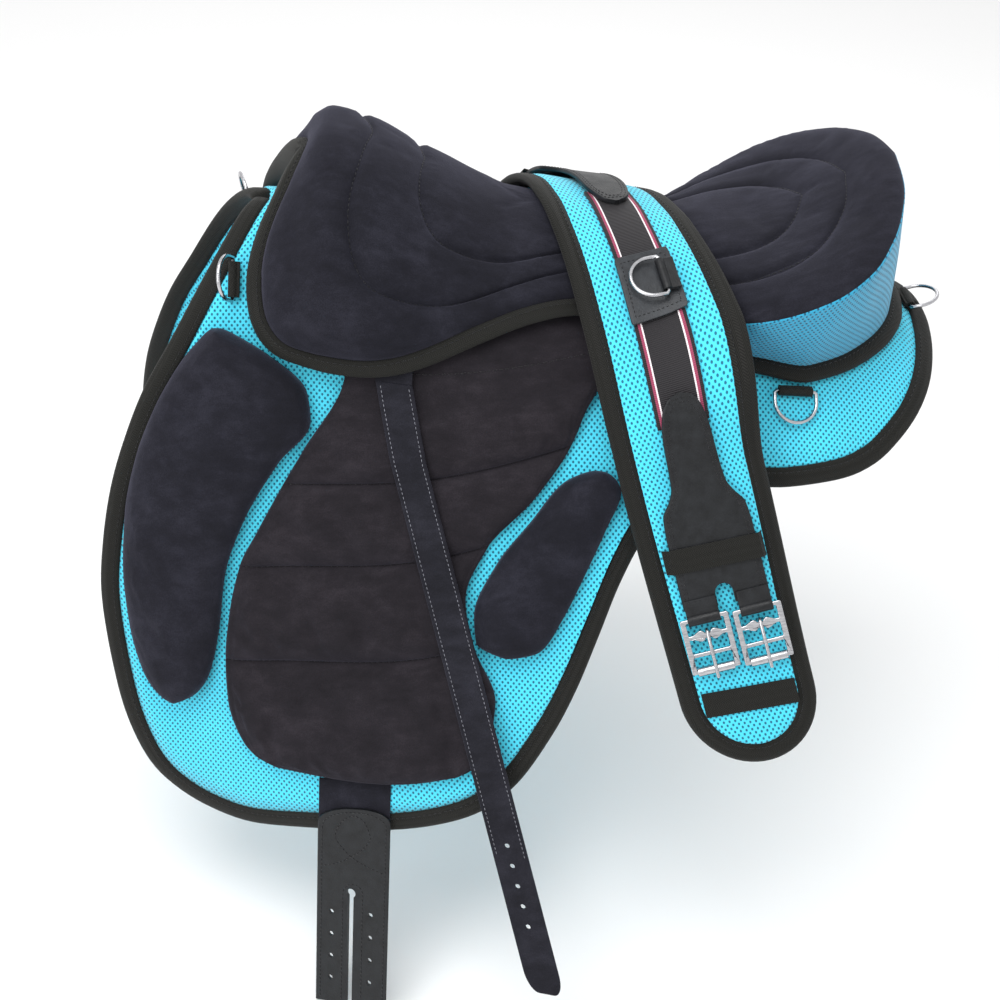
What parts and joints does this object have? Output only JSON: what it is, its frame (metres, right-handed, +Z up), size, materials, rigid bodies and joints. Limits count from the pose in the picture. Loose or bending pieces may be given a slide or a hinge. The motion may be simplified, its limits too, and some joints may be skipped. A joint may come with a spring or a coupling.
{
  "type": "treeless saddle with girth",
  "caption": "Treeless riding saddle of air mesh and suede with flap pads, knee and thigh blocks, stirrup leathers, billets, dees and a buckled girth laid over its seat.",
  "frame": {"origin": "under the ridge at mid saddle, where the saddle rests on the back", "axes": "+X towards the cantle, -Y to the near (left) side, +Z up"},
  "size_m": [0.6607, 0.6974, 0.6445],
  "materials": {
    "air_mesh": "matte spacer mesh with rows of small holes",
    "suede": "brushed synthetic suede",
    "webbing": "herringbone webbing",
    "elastic": "woven elastic with two thin stripes",
    "felt": "felt over foam",
    "leather": "grained, semi matt",
    "steel": "polished"
  },
  "bodies": {
    "saddle": {"cantle_riser": "air_mesh", "near_base_panel": "air_mesh", "near_billet_web": "webbing", "near_flap_pad": "suede", "near_front_dee_tab": "webbing", "near_knee_block": "suede", "near_leather_loop": "leather", "near_panel_binding": "webbing", "near_rear_dee_tab": "webbing", "near_stirrup_bar": "steel", "near_thigh_block": "suede", "near_under_panel": "felt", "off_base_panel": "air_mesh", "off_billet_web": "webbing", "off_flap_pad": "suede", "off_front_dee_tab": "webbing", "off_knee_block": "suede", "off_leather_loop": "leather", "off_panel_binding": "webbing", "off_rear_dee_tab": "webbing", "off_stirrup_bar": "steel", "off_thigh_block": "suede", "off_under_panel": "felt", "rear_centre_dee_tab": "webbing", "seat_binding": "webbing", "seat_cushion": "suede", "spine_webbing": "webbing"},
    "girth": {"girth_binding": "webbing", "girth_dee_tab": "webbing", "girth_elastic": "elastic", "girth_far_leather": "leather", "girth_far_lower_keeper": "webbing", "girth_far_upper_keeper": "webbing", "girth_near_leather": "leather", "girth_near_lower_keeper": "webbing", "girth_near_upper_keeper": "webbing", "girth_pad": "air_mesh", "girth_patch": "leather"},
    "girth_dee_ring": {"girth_dee_ring": "steel"},
    "girth_far_front_buckle": {"girth_far_front_buckle": "steel"},
    "girth_far_front_buckle_roller": {"girth_far_front_buckle_roller": "steel"},
    "girth_far_front_buckle_tongue": {"girth_far_front_buckle_tongue": "steel"},
    "girth_far_rear_buckle": {"girth_far_rear_buckle": "steel"},
    "girth_far_rear_buckle_roller": {"girth_far_rear_buckle_roller": "steel"},
    "girth_far_rear_buckle_tongue": {"girth_far_rear_buckle_tongue": "steel"},
    "girth_near_front_buckle": {"girth_near_front_buckle": "steel"},
    "girth_near_front_buckle_roller": {"girth_near_front_buckle_roller": "steel"},
    "girth_near_front_buckle_tongue": {"girth_near_front_buckle_tongue": "steel"},
    "girth_near_rear_buckle": {"girth_near_rear_buckle": "steel"},
    "girth_near_rear_buckle_roller": {"girth_near_rear_buckle_roller": "steel"},
    "girth_near_rear_buckle_tongue": {"girth_near_rear_buckle_tongue": "steel"},
    "near_billet": {"near_billet": "leather"},
    "near_front_dee_ring": {"near_front_dee_ring": "steel"},
    "near_rear_dee_ring": {"near_rear_dee_ring": "steel"},
    "near_stirrup_leather": {"near_stirrup_leather": "leather"},
    "off_billet": {"off_billet": "leather"},
    "off_front_dee_ring": {"off_front_dee_ring": "steel"},
    "off_rear_dee_ring": {"off_rear_dee_ring": "steel"},
    "off_stirrup_leather": {"off_stirrup_leather": "leather"},
    "rear_centre_dee_ring": {"rear_centre_dee_ring": "steel"}
  },
  "joints": [
    {"name": "girth_lift_off", "type": "slide", "parent": "saddle", "child": "girth", "axis": [0, 0, 1], "range_m": [0, 0.3]},
    {"name": "near_stirrup_leather_swing", "type": "hinge", "parent": "saddle", "child": "near_stirrup_leather", "pos_m": [-0.08579, -0.11509, -0.05116], "axis": [-0.9946, 0.0954, -0.0407], "range_deg": [0, 70]},
    {"name": "near_billet_swing", "type": "hinge", "parent": "saddle", "child": "near_billet", "pos_m": [-0.109, -0.23352, -0.3729], "axis": [-0.9243, 0.3557, -0.1382], "range_deg": [0, 60]},
    {"name": "off_stirrup_leather_swing", "type": "hinge", "parent": "saddle", "child": "off_stirrup_leather", "pos_m": [-0.08579, 0.11509, -0.05116], "axis": [0.9946, 0.0954, 0.0407], "range_deg": [0, 70]},
    {"name": "off_billet_swing", "type": "hinge", "parent": "saddle", "child": "off_billet", "pos_m": [-0.109, 0.23352, -0.3729], "axis": [0.9243, 0.3557, 0.1382], "range_deg": [0, 60]},
    {"name": "near_front_dee_flip", "type": "hinge", "parent": "saddle", "child": "near_front_dee_ring", "pos_m": [-0.205, -0.06766, 0.00493], "axis": [0, 0.5787, 0.8156], "range_deg": [-60, 60]},
    {"name": "off_front_dee_flip", "type": "hinge", "parent": "saddle", "child": "off_front_dee_ring", "pos_m": [-0.205, 0.06766, 0.00493], "axis": [0, 0.5787, -0.8156], "range_deg": [-60, 60]},
    {"name": "near_rear_dee_flip", "type": "hinge", "parent": "saddle", "child": "near_rear_dee_ring", "pos_m": [0.213, -0.11427, -0.04838], "axis": [-0.9979, -0.0441, 0.0481], "range_deg": [0, 130]},
    {"name": "off_rear_dee_flip", "type": "hinge", "parent": "saddle", "child": "off_rear_dee_ring", "pos_m": [0.213, 0.11427, -0.04838], "axis": [0.9979, -0.0441, -0.0481], "range_deg": [0, 130]},
    {"name": "rear_centre_dee_flip", "type": "hinge", "parent": "saddle", "child": "rear_centre_dee_ring", "pos_m": [0.3235, 0, -0.02685], "axis": [0, -1, 0], "range_deg": [0, 110]},
    {"name": "girth_dee_flip", "type": "hinge", "parent": "girth", "child": "girth_dee_ring", "pos_m": [0.10662, -0.09101, 0.03285], "axis": [-0.2136, 0.857, 0.4691], "range_deg": [0, 130]},
    {"name": "near_front_buckle_flip", "type": "hinge", "parent": "girth", "child": "girth_near_front_buckle", "pos_m": [0.14369, -0.2287, -0.17404], "axis": [-0.9466, -0.0063, -0.3224], "range_deg": [0, 90]},
    {"name": "near_front_buckle_tongue_swing", "type": "hinge", "parent": "girth_near_front_buckle", "child": "girth_near_front_buckle_tongue", "pos_m": [0.14723, -0.2349, -0.1843], "axis": [-0.9466, -0.0063, -0.3224], "range_deg": [0, 100]},
    {"name": "near_front_buckle_roller_spin", "type": "hinge", "parent": "girth_near_front_buckle", "child": "girth_near_front_buckle_roller", "pos_m": [0.15458, -0.2478, -0.20564], "axis": [0.9466, 0.0063, 0.3224], "continuous": true},
    {"name": "near_rear_buckle_flip", "type": "hinge", "parent": "girth", "child": "girth_near_rear_buckle", "pos_m": [0.18105, -0.22847, -0.16336], "axis": [-0.9494, -0.0284, -0.3129], "range_deg": [0, 90]},
    {"name": "near_rear_buckle_tongue_swing", "type": "hinge", "parent": "girth_near_rear_buckle", "child": "girth_near_rear_buckle_tongue", "pos_m": [0.18458, -0.23489, -0.17349], "axis": [-0.9494, -0.0284, -0.3129], "range_deg": [0, 100]},
    {"name": "near_rear_buckle_roller_spin", "type": "hinge", "parent": "girth_near_rear_buckle", "child": "girth_near_rear_buckle_roller", "pos_m": [0.19192, -0.24823, -0.19457], "axis": [0.9494, 0.0284, 0.3129], "continuous": true},
    {"name": "far_front_buckle_flip", "type": "hinge", "parent": "girth", "child": "girth_far_front_buckle", "pos_m": [0.05231, 0.15652, -0.03715], "axis": [0.9584, 0.2093, -0.1938], "range_deg": [0, 90]},
    {"name": "far_front_buckle_tongue_swing", "type": "hinge", "parent": "girth_far_front_buckle", "child": "girth_far_front_buckle_tongue", "pos_m": [0.04893, 0.16211, -0.04781], "axis": [0.9584, 0.2093, -0.1938], "range_deg": [0, 100]},
    {"name": "far_front_buckle_roller_spin", "type": "hinge", "parent": "girth_far_front_buckle", "child": "girth_far_front_buckle_roller", "pos_m": [0.04191, 0.17375, -0.06997], "axis": [-0.9584, -0.2093, 0.1938], "continuous": true},
    {"name": "far_rear_buckle_flip", "type": "hinge", "parent": "girth", "child": "girth_far_rear_buckle", "pos_m": [0.01495, 0.1472, -0.02749], "axis": [0.9595, 0.212, -0.1853], "range_deg": [0, 90]},
    {"name": "far_rear_buckle_tongue_swing", "type": "hinge", "parent": "girth_far_rear_buckle", "child": "girth_far_rear_buckle_tongue", "pos_m": [0.01167, 0.15266, -0.03825], "axis": [0.9595, 0.212, -0.1853], "range_deg": [0, 100]},
    {"name": "far_rear_buckle_roller_spin", "type": "hinge", "parent": "girth_far_rear_buckle", "child": "girth_far_rear_buckle_roller", "pos_m": [0.00484, 0.16404, -0.0606], "axis": [-0.9595, -0.212, 0.1853], "continuous": true}
  ]
}
